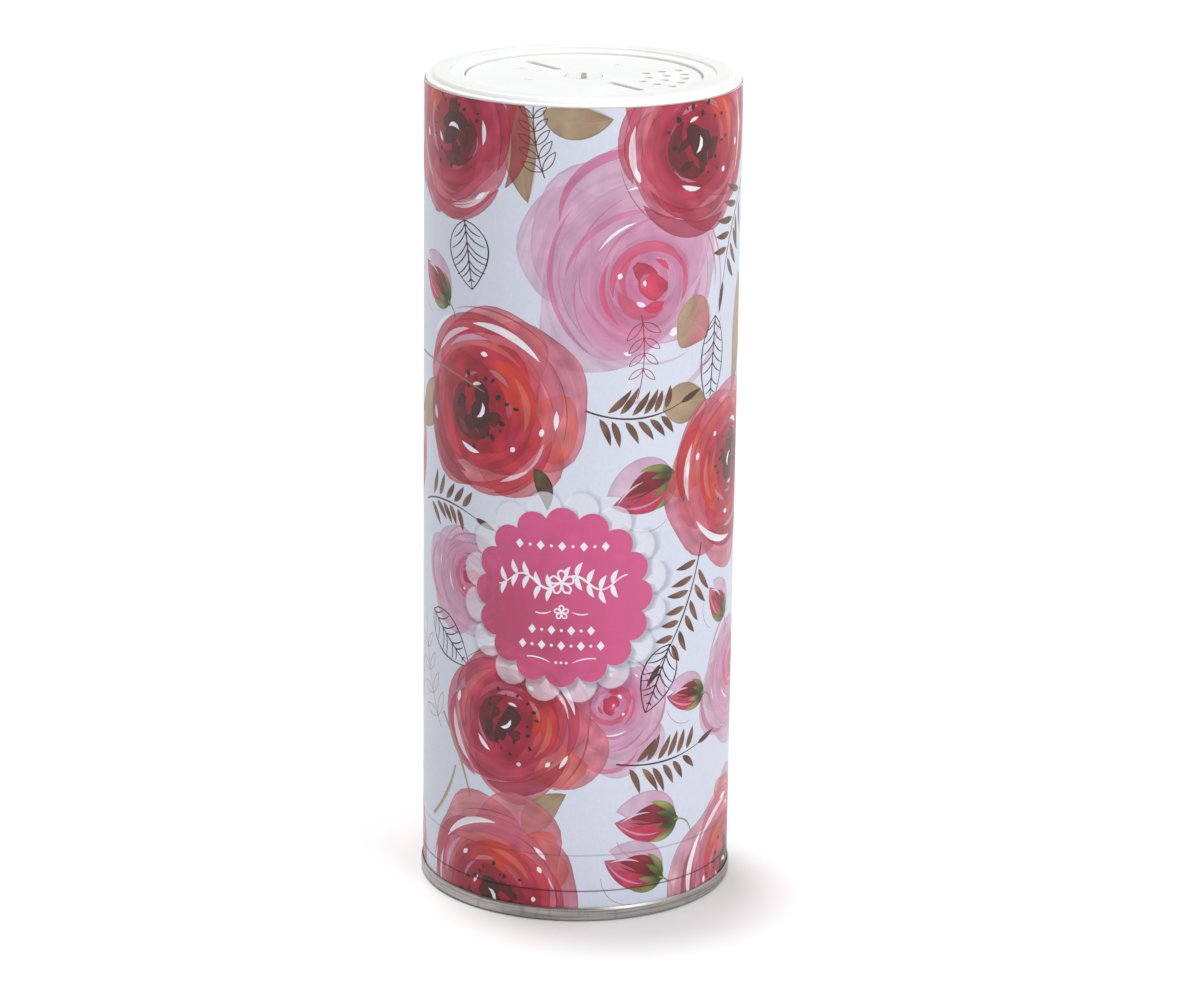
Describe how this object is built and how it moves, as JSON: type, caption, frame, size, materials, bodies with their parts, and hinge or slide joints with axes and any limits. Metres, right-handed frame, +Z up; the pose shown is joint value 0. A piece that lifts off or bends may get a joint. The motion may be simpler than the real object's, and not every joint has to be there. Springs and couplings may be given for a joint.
{
  "type": "talcum powder canister",
  "caption": "Round paper-board powder canister with a printed floral label, a seamed metal end and a plastic sifter closure whose rotary dial opens and shuts the holes.",
  "frame": {"origin": "centre of the circle that the canister stands on, on the surface under its seam", "axes": "+Z up along the tube; the front of the label faces -Y and its overlap runs up the back at +Y; +X is to the right seen from the front"},
  "size_m": [0.0684, 0.0684, 0.1794],
  "materials": {
    "liner_foil": "foil-laminated paper, satin",
    "tube_board": "wound kraft board, matt",
    "printed_label": "varnished floral print on white paper, glossy",
    "tinplate": "bare tinplate, satin",
    "sealing_compound": "matt grey sealing compound",
    "plug_plastic": "white moulded polyethylene, semi-gloss",
    "dial_plastic": "white moulded polypropylene, semi-gloss"
  },
  "bodies": {
    "can": {"tube_liner": "liner_foil", "inner_board_ply": "tube_board", "outer_board_ply": "tube_board", "label_wrap": "printed_label", "bottom_end": "tinplate", "seam_compound": "sealing_compound"},
    "closure": {"sifter_plug": "plug_plastic"},
    "dial": {"sifter_dial": "dial_plastic"}
  },
  "joints": [
    {"name": "closure_lift", "type": "slide", "parent": "can", "child": "closure", "axis": [0, 0, 1], "range_m": [0, 0.018]},
    {"name": "dial_turn", "type": "hinge", "parent": "closure", "child": "dial", "pos_m": [0, 0, 0.1776], "axis": [0, 0, 1], "range_deg": [0, 60]}
  ]
}
